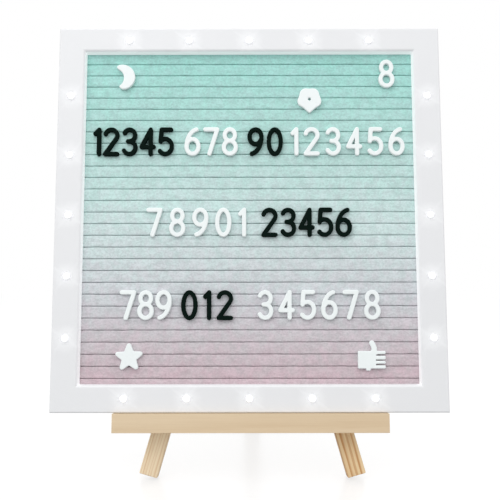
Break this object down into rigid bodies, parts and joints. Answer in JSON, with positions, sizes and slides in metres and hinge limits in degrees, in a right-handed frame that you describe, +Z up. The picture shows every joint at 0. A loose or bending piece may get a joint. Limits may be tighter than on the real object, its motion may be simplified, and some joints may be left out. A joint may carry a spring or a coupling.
{
  "type": "felt letter board",
  "caption": "Square white frame with small lights round a grooved felt panel that holds push-in digits, leaning on a folding wooden tabletop easel.",
  "frame": {"origin": "middle of the bounding box at the height of the table that the feet stand on", "axes": "+Z up, +X to the right of a viewer who faces the felt, -Y towards that viewer"},
  "size_m": [0.254, 0.1338, 0.2948],
  "materials": {
    "frame_plastic": "satin white moulded plastic",
    "light_lens": "clear round-nosed light on a white strip",
    "felt": "grey-green felt, fading to rose grey lower down",
    "cell_jacket": "plain dark jacket",
    "switch_plastic": "black plastic",
    "pine": "bare pine",
    "pin_steel": "plain steel pin",
    "black_figure": "black green plastic",
    "white_figure": "white plastic"
  },
  "bodies": {
    "stand": {"back_panel": "frame_plastic", "battery_box": "frame_plastic", "cell_1": "cell_jacket", "cell_2": "cell_jacket", "cell_3": "cell_jacket", "corner_digit01": "white_figure", "felt_panel": "felt", "flower_figure": "white_figure", "frame": "frame_plastic", "front_leg_left": "pine", "front_leg_right": "pine", "hinge_pin": "pin_steel", "ledge": "pine", "light_strip": "light_lens", "moon_figure": "white_figure", "row1_digit01": "black_figure", "row1_digit02": "black_figure", "row1_digit03": "black_figure", "row1_digit04": "black_figure", "row1_digit05": "black_figure", "row1_digit06": "white_figure", "row1_digit07": "white_figure", "row1_digit08": "white_figure", "row1_digit09": "black_figure", "row1_digit10": "black_figure", "row1_digit11": "white_figure", "row1_digit12": "white_figure", "row1_digit13": "white_figure", "row1_digit14": "white_figure", "row1_digit15": "white_figure", "row1_digit16": "white_figure", "row2_digit01": "white_figure", "row2_digit02": "white_figure", "row2_digit03": "white_figure", "row2_digit04": "white_figure", "row2_digit05": "white_figure", "row2_digit06": "black_figure", "row2_digit07": "black_figure", "row2_digit08": "black_figure", "row2_digit09": "black_figure", "row2_digit10": "black_figure", "row3_digit01": "white_figure", "row3_digit02": "white_figure", "row3_digit03": "white_figure", "row3_digit04": "black_figure", "row3_digit05": "black_figure", "row3_digit06": "black_figure", "row3_digit07": "white_figure", "row3_digit08": "white_figure", "row3_digit09": "white_figure", "row3_digit10": "white_figure", "row3_digit11": "white_figure", "row3_digit12": "white_figure", "star_figure": "white_figure", "stop_block": "pine", "thumb_figure": "white_figure"},
    "rear_leg": {"rear_leg": "pine"},
    "battery_cover": {"battery_cover": "frame_plastic"},
    "power_switch": {"power_switch": "switch_plastic"}
  },
  "joints": [
    {"name": "rear_leg_hinge", "type": "hinge", "parent": "stand", "child": "rear_leg", "pos_m": [0.0019, -0.0034, 0.20349], "axis": [1, 0, 0], "range_deg": [-31, 0]},
    {"name": "battery_cover_slide", "type": "slide", "parent": "stand", "child": "battery_cover", "axis": [0, 0.225, 0.9744], "range_m": [0, 0.038]},
    {"name": "power_switch_slide", "type": "slide", "parent": "stand", "child": "power_switch", "axis": [0, 0.225, 0.9744], "range_m": [0, 0.004]}
  ]
}
